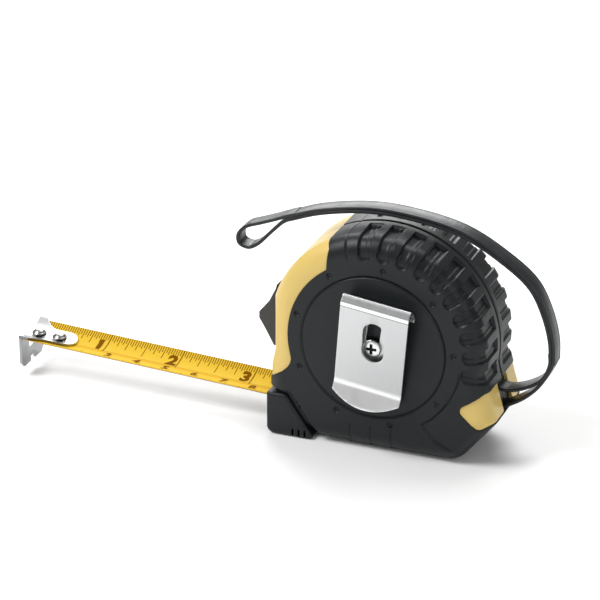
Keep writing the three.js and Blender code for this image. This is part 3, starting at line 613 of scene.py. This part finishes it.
def place_print(piece):
    """Stores how far along and across the blade each point lies, for the printed scales."""
    spots = points_of(piece.data)
    marks = piece.data.attributes.new("scale_place", "FLOAT_VECTOR", "POINT")
    under = spots[:, 2] < blade_height(spots[:, 0], spots[:, 1], blade_sheet / 2)
    along = np.column_stack([spots[:, 0] - scale_zero, spots[:, 1] + blade_half, under])
    marks.data.foreach_set("vector", along.ravel())


def axes_of(place):
    """The three numbers of a place."""
    return [place.node("ShaderNodeSeparateXYZ", {}, {0: place}, axis) for axis in range(3)]


lacquer, lacquer_shader, lacquer_place = new_finish("blade_lacquer", Specular_IOR_Level=0.06, IOR=1.15)
scale_place = lacquer_place.node("ShaderNodeAttribute", {"attribute_name": "scale_place"}, output="Vector")
along_blade, across_blade, under_face = axes_of(scale_place)


def tick(pitch, thickness, reach, from_edge):
    """1 on the marks of one pitch, as far in from an edge as they reach."""
    share = (along_blade / pitch + 0.5).maths("FRACT")
    close = (share - 0.5).maths("ABSOLUTE") < thickness / 2 / pitch
    return close * (from_edge < reach)


from_far = 2 * blade_half - across_blade
inch = 25.4 * mm
printed = tick(inch, 0.42 * mm, 8.6 * mm, from_far)
for pitch, reach in ((inch / 2, 6.6 * mm), (inch / 4, 5.2 * mm), (inch / 8, 4.1 * mm),
                     (inch / 16, 3.0 * mm), (inch / 32, 2.4 * mm)):
    printed = printed.maths("MAXIMUM", tick(pitch, 0.3 * mm, reach, from_far))
for pitch, reach in ((10 * mm, 4.6 * mm), (5 * mm, 3.2 * mm), (1 * mm, 2.1 * mm)):
    printed = printed.maths("MAXIMUM", tick(pitch, 0.24 * mm, reach, across_blade))
# A thin brown line along the blade at the floor of the hollow, drawn in with the ticks.
middle_line = (across_blade - 7.9 * mm).maths("ABSOLUTE") < 0.14 * mm
printed = printed.maths("MAXIMUM", middle_line * 0.6)
yellow = mixed(noise(scale_place, 160), (0.60, 0.385, 0.030, 1), (0.65, 0.43, 0.045, 1))
# Painted shade: two deeper orange bands along the blade, at its near edge and beside the floor of the hollow.
hollow_shade_bands = (across_blade < 1.3 * mm) + (across_blade > 6.2 * mm) * (across_blade < 7.6 * mm)
yellow = mixed(hollow_shade_bands * 0.75, yellow, (0.56, 0.30, 0.008, 1))
yellow = mixed(under_face, yellow, (0.42, 0.40, 0.37, 1))
print_brown = (0.15, 0.058, 0.001, 1)
feed(lacquer_shader, "Base Color", mixed(printed * 0.92 * (1 - under_face), yellow, print_brown))
feed(lacquer_shader, "Roughness", 0.4 + (noise(scale_place, 700) - 0.5) * 0.12)
feed(lacquer_shader, "Normal", bumped(noise(scale_place, 1400, 3), 0.000006))

outside = np.linspace(blade_tip, lead_start, 130)
lead = np.linspace(lead_start, 0, 24)[1:]
stations = np.concatenate([outside, lead])
points, faces = strip_skin(stations, np.full(len(stations), blade_half), blade_height, blade_sheet, 25)
steel_blade = piece_from("steel_blade", points, faces, lacquer)
place_print(steel_blade)
crisp(steel_blade, 50)
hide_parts("blade")

# Numbers of the two scales, printed like the ticks: bold inches that stand left of their line, and
# smaller centimetres on the half that lies nearer the clip.
ink, ink_shader, ink_place = new_finish("scale_ink", Specular_IOR_Level=0.02, IOR=1.15)
feed(ink_shader, "Base Color", mixed(noise(ink_place, 900), print_brown, (0.18, 0.072, 0.002, 1)))
feed(ink_shader, "Roughness", 0.34 + (noise(ink_place, 500) - 0.5) * 0.1)


def number_print(text, height, right, base, weight):
    """Flat digits whose right end and baseline are given, bent to the hollow of the blade."""
    curve = bpy.data.curves.new("digits", "FONT")
    curve.body, curve.size, curve.offset, curve.align_x = text, height / 0.72, weight, "RIGHT"
    curve.resolution_u = 3
    holder = bpy.data.objects.new("digits", curve)
    bpy.context.collection.objects.link(holder)
    flat = bpy.data.meshes.new_from_object(holder.evaluated_get(bpy.context.evaluated_depsgraph_get()))
    bpy.data.objects.remove(holder)
    spots = points_of(flat) + [right, base, 0]
    spots[:, 2] = blade_height(spots[:, 0], spots[:, 1], blade_sheet + 0.03 * mm)
    outlines = [tuple(face.vertices) for face in flat.polygons]
    bpy.data.meshes.remove(flat)
    return spots, outlines


digit_points, digit_faces = [], []
labels = [(str(n), 4.8 * mm, scale_zero + n * inch - 0.6 * mm, 0.5 * mm, 0.34 * mm) for n in range(1, 4)]
labels += [(str(n), 3.2 * mm, scale_zero + n * 10 * mm - 0.5 * mm, -4.2 * mm, 0.18 * mm) for n in range(3, 9)]
for text, height, right, base, weight in labels:
    spots, outlines = number_print(text, height, right, base, weight)
    start = sum(len(group) for group in digit_points)
    digit_points.append(spots)
    digit_faces += [tuple(start + corner for corner in outline) for outline in outlines]
digits = piece_from("scale_numbers", np.concatenate(digit_points), digit_faces, ink, smooth=False)
thick = digits.modifiers.new("ink_depth", "SOLIDIFY")
thick.thickness, thick.offset = 0.02 * mm, 0
settle(digits)
for piece in (steel_blade, digits):
    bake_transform(piece)

# End hook: one piece of bright steel sheet, folded down in front of the blade and riveted on top of it
# by a rounded tongue. It slides on its rivets by the thickness of its own plate.
hook_face, plate_thickness = -124 * mm, 1.0 * mm
tongue_length, tongue_shoulder, tongue_half = 16.5 * mm, 3 * mm, 4.2 * mm
tongue_lift, tongue_sheet = 0.4 * mm, 0.8 * mm
rivet_places = {"front": 4 * mm, "rear": 11.2 * mm}


def tongue_reach(share):
    """Half width of the tongue along its length: full at the fold, drawn in, round at the tip."""
    straight = tongue_shoulder / tongue_length
    along = np.clip((share - straight) / (1 - straight), 0, 1)
    waist_painted_shade = tongue_half + (blade_half - tongue_half) * np.clip(1 - along * 2.6, 0, 1) ** 2
    tip = np.sqrt(np.clip(1 - np.clip((along - 0.74) / 0.26, 0, 1) ** 2, 0, 1))
    return np.maximum(waist_painted_shade * tip, 0.25 * mm)


def clamped(share):
    return share.maths("MAXIMUM", 0).maths("MINIMUM", 1)


chrome, chrome_shader, chrome_place = new_finish("hook_chrome", Metallic=1.0)
# Painted reflection: the chrome's colour darkens towards the tongue's near edge, for the dark surroundings that
# edge reflects.
near_edge_painted_reflection = clamped(1 - (axes_of(chrome_place)[1] + tongue_half) / (4.6 * mm))
feed(chrome_shader, "Base Color", mixed(near_edge_painted_reflection, (0.80, 0.81, 0.81, 1), (0.20, 0.205, 0.21, 1)))
feed(chrome_shader, "Roughness", 0.32 + (noise(chrome_place, 300) - 0.5) * 0.06)
brushed_plate = metal("hook_brushed", (0.33, 0.335, 0.34), 0.38, brush=(1, 1, 0.12), streak=1100)
shares = np.concatenate([np.linspace(0, 0.74, 36), 1 - 0.26 * np.cos(np.linspace(0, math.pi / 2, 22))[1:]])
points, faces = strip_skin(hook_face + tongue_length * shares, tongue_reach(shares),
                           lambda x, y: blade_height(x, y, tongue_lift), tongue_sheet, 21)
hook = piece_from("hook_sheet", points, faces, chrome)
for place in rivet_places.values():
    at = hook_face + place
    level = blade_level(at)
    carve(hook, block((at - 1.75 * mm, -1.3 * mm, level - 2 * mm), (at + 1.75 * mm, 1.3 * mm, level + 4 * mm)))
plate_top = blade_level(hook_face)
plate_low = [(8, -6.4), (6.2, -8.4), (1.5, -8.4), (1.5, -6.6), (-1.5, -6.6), (-1.5, -8.4), (-6.2, -8.4),
             (-8, -6.4)]
crest = [(y, plate_top + blade_hollow * (y / blade_half) ** 2 + tongue_lift + tongue_sheet / 2)
         for y in np.linspace(-blade_half, blade_half, 17)]
plate_outline = [(y * mm, plate_top + z * mm) for y, z in plate_low] + crest
count = len(plate_outline)
points = [(x, y, z) for x in (hook_face, hook_face + plate_thickness) for y, z in plate_outline]
faces = [tuple(range(count)), tuple(range(2 * count - 1, count - 1, -1))]
faces += [(i, (i + 1) % count, count + (i + 1) % count, count + i) for i in range(count)]
plate = piece_from("hook_plate", points, faces, brushed_plate)
carve(plate, block((hook_face - 1 * mm, -2.5 * mm, plate_top - 3 * mm),
                   (hook_face + 2 * mm, 2.5 * mm, plate_top - 1 * mm)))


def roll_edges(piece, width, segments, degrees):
    """Rounds every edge that turns by more than the given angle."""
    rounded = piece.modifiers.new("rolled_edges", "BEVEL")
    rounded.width, rounded.segments, rounded.angle_limit = width, segments, math.radians(degrees)
    settle(piece)


for piece in (hook, plate):
    roll_edges(piece, 0.16 * mm, 3, 40)
    crisp(piece, 45)
    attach(piece, "hook")
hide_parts("end_hook")

# Rivets: two domed steel rivets, headed loosely over the tongue so that the hook can float on the
# blade. The waist under each head is painted near black as shade.
rivet_steel, rivet_shader, rivet_place = new_finish("rivet_steel", Metallic=1.0)
rivet_x, _, rivet_z = axes_of(rivet_place)
# Painted shade: the shaft under each head is coloured near black where the head shades it.
waist_painted_shade = rivet_z + rivet_x * blade_slope < 6.62 * mm
feed(rivet_shader, "Base Color", mixed(waist_painted_shade, (0.30, 0.30, 0.295, 1), (0.012, 0.012, 0.014, 1)))
feed(rivet_shader, "Roughness", 0.3 + (noise(rivet_place, 900) - 0.5) * 0.12 + waist_painted_shade * 0.3)


def turned(name, profile, centre, material, axis="Z"):
    """A closed profile of radius and height, turned about an upright or a cross axis."""
    steps = 48
    turns = np.linspace(0, 2 * math.pi, steps, endpoint=False)
    points = []
    for radius, height in profile:
        ring = np.column_stack([np.cos(turns) * radius, np.sin(turns) * radius, np.full(steps, height)])
        points.append(ring if axis == "Z" else ring[:, [0, 2, 1]])
    faces = ring_faces(len(profile), steps, flip=axis != "Z")
    caps = [tuple(range(steps)), tuple(range((len(profile) - 1) * steps, len(profile) * steps))]
    faces += [caps[0][::-1], caps[1]] if axis == "Z" else [caps[0], caps[1][::-1]]
    return piece_from(name, np.concatenate(points) + centre, faces, material)


for name, place in rivet_places.items():
    at = hook_face + place - 0.5 * mm
    base = blade_level(at) + blade_sheet + 0.15 * mm
    head = [(1.1, 0), (1.1, 1.15), (2.05, 1.17), (2.35, 1.26), (2.42, 1.42), (2.35, 1.6), (2.0, 1.72),
            (1.9, 1.8), (1.7, 2.1), (1.3, 2.36), (0.7, 2.5), (0.02, 2.54)]
    rivet = turned(f"rivet_{name}", [(r * mm, h * mm) for r, h in head], (at, 0, base), rivet_steel)
    crisp(rivet, 50)
    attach(rivet, "blade")
    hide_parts(f"hook_rivet_{name}")

# Thumb lock: a black moulded wedge on the front, ribbed for the thumb. Its stem goes through the
# shell's slot, a collar holds it from inside and its pad presses on the blade's raised edges.
lock_outline = filleted(np.array([
    (-34.4, 46.8), (-34.8, 46.8), (-35.4, 44.9), (-37.4, 40.75), (-40.8, 36.6), (-40.8, 34.5), (-38.7, 31.0),
    (-35.9, 25.8), (-35.1, 26.0), (-35.0, 43.5)]) * mm,
    np.array([0, 0.3, 1.4, 1.4, 1.0, 1.0, 1.4, 0.3, 0, 0]) * mm)
lock_finish = moulded("lock_black", (0.024, 0.021, 0.018), (0.034, 0.030, 0.027), 0.5, 2200, 0.00003)


def tube_faces(rows, columns):
    """Faces of a tube with a flat face at each end."""
    ends = [tuple(range(columns))[::-1], tuple(range((rows - 1) * columns, rows * columns))]
    return ring_faces(rows, columns) + ends


def slab(name, outline, y_low, y_high, material):
    """A closed outline of x and z, drawn across the case."""
    points = [(x, y, z) for y in (y_low, y_high) for x, z in outline]
    return piece_from(name, points, tube_faces(2, len(outline)), material)


lock = slab("thumb_lock_wedge", lock_outline, -7 * mm, 7 * mm, lock_finish)
roll_edges(lock, 0.5 * mm, 3, 60)
rib_start, rib_run = np.array([-37.4, 40.75]) * mm, np.array([3.4, 4.15]) * mm
for rib in range(5):
    carve(lock, drum(rib_start - rib_run * (0.12 + 0.17 * rib), 0.24 * mm, -5.6 * mm, 5.6 * mm, 12))
stem_from, collar_from, collar_to = -35.7 * mm, -29.5 * mm, -27.9 * mm
stem_box = (stem_from, -2.6 * mm, 33.5 * mm), (collar_to, 2.6 * mm, 38.5 * mm)
collar_box = (collar_from, -5 * mm, 31 * mm), (collar_to, 5 * mm, 41 * mm)
pad_box = (collar_from, -6.8 * mm, 14.55 * mm), (collar_to, 6.8 * mm, 36 * mm)
for box in (stem_box, collar_box, pad_box):
    carve(lock, block(*box), "UNION")
crisp(lock, 40)
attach(lock, "thumb_lock")
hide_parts("thumb_lock")

# Belt clip: one satin steel strip folded over at the top, so that its long leg springs against the
# case. It hangs 7.5 degrees off upright on one cross-head screw that goes into the axle.
clip_face, clip_sheet, clip_half = -16.3 * mm, 0.8 * mm, 10.9 * mm
clip_line = filleted(np.array([(0, -9), (0, 14.0), (1.2, 15.5), (5.6, 18.9), (7, 16.2), (2.0, -12.9),
                               (4.4, -19.1)]) * mm,
                     np.array([0, 0.9, 0.9, 1.0, 1.0, 4, 0]) * mm)
clip_line = np.concatenate([a + (b - a) * (np.arange(6) / 6)[:, None]
                            for a, b in zip(clip_line[:-1], clip_line[1:])] + [clip_line[-1:]])
clip_run = np.gradient(clip_line, axis=0)
clip_run /= np.linalg.norm(clip_run, axis=1)[:, None]
clip_outer = clip_line + np.stack([clip_run[:, 1], -clip_run[:, 0]], -1) * clip_sheet
clip_turn, clip_shift = math.radians(7.5), 1 * mm
satin, satin_shader, satin_place = new_finish("clip_satin", Metallic=1.0)
satin_x, _, satin_z = axes_of(satin_place)
clip_up = (satin_z - axis_height) * math.cos(clip_turn) + (satin_x - clip_shift) * math.sin(clip_turn)
brush_lines = brushing(satin_place, (1, 1, 0.05), 1300)
# Painted reflection: below the lower bend the clip is coloured near white, for the bright floor that the lip
# reflects.
lip_start, lip_fade = -11.6 * mm, 1.6 * mm
lip_painted_reflection = clamped((lip_start - clip_up) / lip_fade)
fold_shade_low, fold_shade_high, fold_highlight_high = 14.5 * mm, 14.9 * mm, 16.0 * mm
# Painted highlight: a near white band just above the fold's crease, where the fold catches the light.
fold_painted_highlight = (clip_up > fold_shade_high) * (clip_up < fold_highlight_high)
# Painted shade: a thin dark band along the fold's crease.
fold_painted_shade = (clip_up > fold_shade_low) * (clip_up < fold_shade_high)
steel = mixed(brush_lines, (0.56, 0.565, 0.57, 1), (0.60, 0.605, 0.61, 1))
steel = mixed(lip_painted_reflection * 0.9, steel, (0.98, 0.98, 0.98, 1))
steel = mixed(fold_painted_highlight, steel, (0.98, 0.98, 0.98, 1))
steel = mixed(fold_painted_shade, steel, (0.34, 0.345, 0.35, 1))
feed(satin_shader, "Base Color", steel)
feed(satin_shader, "Roughness", 0.36 + (brush_lines - 0.5) * 0.14 + (noise(satin_place, 120) - 0.5) * 0.08)
feed(satin_shader, "Normal", bumped(brush_lines, 0.0000015))
clip_columns = 31
xs = np.linspace(-clip_half, clip_half, clip_columns)
rows = []
for inner, outer in zip(clip_line, clip_outer):
    near, far = (np.column_stack([xs, np.full(clip_columns, clip_face - place[0]),
                                  np.full(clip_columns, place[1])]) for place in (inner, outer))
    rows.append(np.concatenate([near, far[::-1]]))
clip = piece_from("belt_clip_sheet", np.concatenate(rows), strip_faces(len(rows), clip_columns), satin)


def stadium(half_wide, half_tall, rise):
    """A slot's outline with round ends."""
    turns = np.linspace(0, math.pi, 28)
    top = np.column_stack([half_wide * np.cos(turns), rise + half_tall - half_wide + half_wide * np.sin(turns)])
    low = np.column_stack([-half_wide * np.cos(turns), rise - half_tall + half_wide - half_wide * np.sin(turns)])
    return np.concatenate([top, low])


between_legs, out_front = clip_face - 1.1 * mm, -40 * mm
outer_hole = stadium(3.6 * mm, 7.0 * mm, 4.5 * mm) + [0.5 * mm, 0]
inner_slot = stadium(2.2 * mm, 5.72 * mm, 3.52 * mm) - [clip_shift, 0]
carve(clip, slab("cutter", outer_hole, out_front, between_legs, None))
carve(clip, slab("cutter", inner_slot, between_legs, clip_face + 2 * mm, None))
for low, high in ((-12 * mm, -8.4 * mm), (8.4 * mm, 12 * mm)):
    carve(clip, block((low, between_legs, -12 * mm), (high, clip_face + 1 * mm, 12.8 * mm)))
lip_low, lip_round = -19.1 * mm, 3.6 * mm
trim = [(x, lip_low + lip_round * (x / clip_half) ** 2)
        for x in np.linspace(clip_half + 0.3 * mm, -clip_half - 0.3 * mm, 25)]
trim += [(-20 * mm, out_front), (20 * mm, out_front)]
carve(clip, slab("cutter", np.array(trim), out_front, -10 * mm, None))
roll_edges(clip, 0.16 * mm, 2, 50)
crisp(clip, 40)
spots = points_of(clip.data) + [clip_shift, 0, 0]
spots = np.column_stack([spots[:, 0] * math.cos(clip_turn) + spots[:, 2] * math.sin(clip_turn), spots[:, 1],
                         spots[:, 2] * math.cos(clip_turn) - spots[:, 0] * math.sin(clip_turn) + axis_height])
clip.data.vertices.foreach_set("co", spots.ravel())
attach(clip, "case")
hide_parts("belt_clip")

# Screws: cross-head pan screws. One, bright and with its recess painted dark as shade, holds the belt
# clip; four zinc plated ones join the shells from the far side.
clip_screw_x, clip_screw_z, clip_screw_seat = 0.4 * mm, axis_height + 0.7 * mm, -17.15 * mm
screw_bright, bright_shader, bright_place = new_finish("screw_bright", Metallic=1.0)
from_axis = bright_place.node("ShaderNodeVectorMath", {"operation": "SUBTRACT"},
                              {0: bright_place, 1: (clip_screw_x, -17.8 * mm, clip_screw_z)}, "Vector")
recess_x, recess_y, recess_z = axes_of(from_axis)
# Painted shade: the bottom of the cross recess is coloured near black.
recess_painted_shade = (recess_x * recess_x + recess_z * recess_z < (1.8 * mm) ** 2) * (recess_y > -0.2 * mm)
feed(bright_shader, "Base Color", mixed(recess_painted_shade, (0.86, 0.87, 0.87, 1), (0.03, 0.032, 0.034, 1)))
feed(bright_shader, "Roughness", 0.36 + (noise(bright_place, 300) - 0.5) * 0.08 + recess_painted_shade * 0.3)
screw_dark = metal("screw_dark", (0.20, 0.205, 0.21), 0.36, streak=1500)


def cross_screw(name, node, x, z, y, outward, head, height, shank, reach, material):
    """Turns a pan head on a shank with thread rings, then cuts the cross."""
    rings = [(0.02 * mm, -reach), (shank * 0.5, -reach)]
    for turn in np.arange(-reach + 0.8 * mm, -0.8 * mm, 0.5 * mm):
        rings += [(shank * 0.82, turn), (shank, turn + 0.25 * mm)]
    rings += [(shank * 0.82, -0.3 * mm), (shank, 0), (head * 0.95, 0), (head, 0.12 * mm), (head, height * 0.35)]
    rings += [(head * math.cos(t), height * (0.45 + 0.55 * math.sin(t) ** 0.5)) for t in np.linspace(0.1, 1.5, 10)]
    profile = [(radius, y + outward * rise) for radius, rise in rings]
    screw = turned(name, profile, (x, 0, z), material, "Y")
    top = y + outward * height
    for half_x, half_z in ((head * 0.6, head * 0.17), (head * 0.17, head * 0.6)):
        ends = sorted((top - outward * height * 0.55, top + outward * 1 * mm))
        carve(screw, block((x - half_x, ends[0], z - half_z), (x + half_x, ends[1], z + half_z)))
    crisp(screw, 40)
    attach(screw, "case")
    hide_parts(node)


cross_screw("clip_pan_screw", "clip_screw", clip_screw_x, clip_screw_z, clip_screw_seat, -1,
            2.85 * mm, 1.3 * mm, 1.4 * mm, 10.2 * mm, screw_bright)
for number, angle in enumerate(screw_angles, 1):
    x, z = about_axis(screw_circle, angle)
    cross_screw(f"case_pan_screw_{number}", f"case_screw_{number}", x, z, 14.3 * mm, 1, 2.5 * mm, 1.3 * mm,
                1.1 * mm, 16 * mm, screw_dark)

# Wrist strap: two plies of black grained vinyl, 6 mm wide, welded together over the arch. They part
# into a small loop at the free end and round the post in the case's rear slot.
strap_low, strap_wide, ply = -2.4 * mm, 6 * mm, 1.1 * mm


def curve_through(shares):
    """A centripetal curve through places given as shares of the crown's radius from the axis."""
    points = np.array(shares) * crown_radius + [0, axis_height]
    points = np.concatenate([[2 * points[0] - points[1]], points, [2 * points[-1] - points[-2]]])
    line = []
    for a, b, c, d in zip(points, points[1:], points[2:], points[3:]):
        t1 = np.linalg.norm(b - a) ** 0.5
        t2 = t1 + np.linalg.norm(c - b) ** 0.5
        t3 = t2 + np.linalg.norm(d - c) ** 0.5
        t = np.linspace(t1, t2, 9, endpoint=False)[:, None]
        ab, bc, cd = a + (b - a) * t / t1, b + (c - b) * (t - t1) / (t2 - t1), c + (d - c) * (t - t2) / (t3 - t2)
        abc, bcd = ab + (bc - ab) * t / t2, bc + (cd - bc) * (t - t1) / (t3 - t1)
        line.append(abc + (bcd - abc) * (t - t1) / (t2 - t1))
    return np.concatenate([*line, points[-2:-1]])


def band(line, thickness, seam):
    """Sweeps a strap section with rolled edges, a line pressed along each edge and a seam between plies."""
    half, thick = strap_wide / 2, thickness / 2
    press = [(half - edge * mm, rise * thick) for edge, rise in ((1.05, 1), (0.8, 0.93), (0.62, 0.93), (0.45, 1))]
    corner = [(half - 0.4 * mm * (1 - math.sin(t)), thick - 0.4 * mm * (1 - math.cos(t)))
              for t in np.linspace(0.3, math.pi / 2, 5)]
    quarter = [*press, *corner, (half, max(seam, 0.1 * mm)), (half - seam, 0)]
    right = quarter + [(a, -b) for a, b in quarter[-2::-1]]
    section = right + [(-a, b) for a, b in right[::-1]]
    tangent = np.gradient(line, axis=0)
    tangent /= np.linalg.norm(tangent, axis=1)[:, None]
    normal = np.stack([-tangent[:, 1], tangent[:, 0]], -1)
    rows = [np.column_stack([place[0] + n[0] * np.array([b for _, b in section]),
                             strap_low + half + np.array([a for a, _ in section]),
                             place[1] + n[1] * np.array([b for _, b in section])])
            for place, n in zip(line, normal)]
    return piece_from("wrist_strap_band", np.concatenate(rows), tube_faces(len(rows), len(section)), strap_finish)


strap_finish, strap_shader, strap_place = new_finish("strap_vinyl", Specular_IOR_Level=0.32)
pebble = strap_place.node("ShaderNodeTexVoronoi", {}, {"Vector": strap_place, "Scale": 1100}, "Distance")
wrinkle = noise(strap_place, 260, 3)
feed(strap_shader, "Base Color", mixed(wrinkle, (0.010, 0.012, 0.0135, 1), (0.020, 0.0225, 0.025, 1)))
feed(strap_shader, "Roughness", 0.34 + (wrinkle - 0.5) * 0.25)
feed(strap_shader, "Normal", bumped(pebble * 0.5 + wrinkle, 0.00007))

arch_shares = [(1.478, -0.075), (1.468, 0.121), (1.402, 0.365), (1.272, 0.61), (0.99, 0.828), (0.634, 1.005),
               (0.155, 1.088), (-0.206, 1.09), (-0.645, 1.008), (-0.93, 0.905)]
loop_shares = [(-0.853, 0.92), (-0.925, 0.892), (-0.985, 0.855), (-1.10, 0.74), (-1.22, 0.615), (-1.307, 0.572),
               (-1.39, 0.60), (-1.40, 0.68), (-1.33, 0.762), (-1.19, 0.82), (-1.05, 0.875), (-0.937, 0.924),
               (-0.866, 0.95)]
root_shares = [(1.456, 0.02), (1.460, -0.075), (1.40, -0.225), (1.27, -0.325), (1.10, -0.385), (0.985, -0.37)]
tail_shares = [(0.985, -0.590), (1.10, -0.525), (1.245, -0.43), (1.37, -0.30), (1.468, -0.125), (1.490, -0.05),
               (1.488, 0.03)]
arch = curve_through(arch_shares)
loop = curve_through(loop_shares)
around_post = np.radians(np.linspace(110, 250, 25))
bend_radius = post_radius + seat_gap + ply / 2 + 0.6 * mm
bend = np.column_stack([post_place[0] + bend_radius * np.cos(around_post),
                        post_place[1] + bend_radius * np.sin(around_post)])
root = np.concatenate([curve_through(root_shares), bend, curve_through(tail_shares)])
strap = band(arch, 2 * ply, 0.28 * mm)
loop_half, root_half = len(loop) // 2, len(root) // 2
for line in (loop[:loop_half + 1], loop[loop_half:], root[:root_half + 1], root[root_half:]):
    carve(strap, band(line, ply, 0), "UNION")
crisp(strap, 50)
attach(strap, "strap")
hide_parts("wrist_strap")
